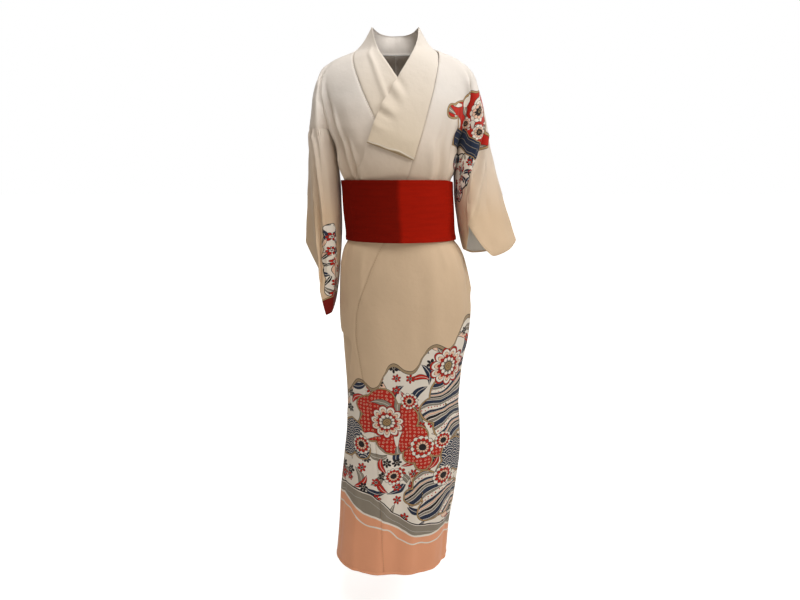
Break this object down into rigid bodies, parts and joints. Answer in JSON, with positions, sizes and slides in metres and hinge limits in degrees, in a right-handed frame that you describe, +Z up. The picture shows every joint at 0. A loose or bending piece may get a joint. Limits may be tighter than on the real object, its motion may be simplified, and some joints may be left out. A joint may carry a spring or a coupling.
{
  "type": "kimono with a plain wrapped sash",
  "caption": "Worn lined silk kimono, left front lapped over right, wide opened collar, slanting sleeve cuffs, lining roll at the hem and a plain wrapped sash.",
  "frame": {"origin": "the middle of the neck at the height where the shoulders meet it, where the wearer carries the garment", "axes": "+Z up along the wearer's spine, -Y to the wearer's front, +X to the wearer's left"},
  "size_m": [0.58, 0.2571, 1.4987],
  "materials": {
    "silk_crepe": "soft lined silk crepe, dyed with bands and flower motifs",
    "silk_collar": "soft plain silk crepe",
    "silk_sleeve": "soft lined silk crepe, dyed with motifs near the cuff",
    "lining_silk": "smooth plain lining silk",
    "hem_lining": "smooth lining silk rolled over a padded edge",
    "sash_cloth": "matt close-woven sash cloth"
  },
  "bodies": {
    "root": {"body_left_shoulder": "silk_crepe", "body_left_front_chest": "silk_crepe", "body_left_front_hip": "silk_crepe", "body_left_front_leg": "silk_crepe", "body_left_back_chest": "silk_crepe", "body_left_back_hip": "silk_crepe", "body_left_back_leg": "silk_crepe", "body_right_shoulder": "silk_crepe", "body_right_front_chest": "silk_crepe", "body_right_front_hip": "silk_crepe", "body_right_front_leg": "silk_crepe", "body_right_back_chest": "silk_crepe", "body_right_back_hip": "silk_crepe", "body_right_back_leg": "silk_crepe", "overlap_left": "silk_crepe", "overlap_right": "silk_crepe", "collar_band": "silk_collar", "sleeve_left": "silk_sleeve", "sleeve_right": "silk_sleeve", "sleeve_lining_left": "lining_silk", "hem_roll_left": "hem_lining", "hem_roll_right": "hem_lining", "sash": "sash_cloth"}
  },
  "joints": []
}
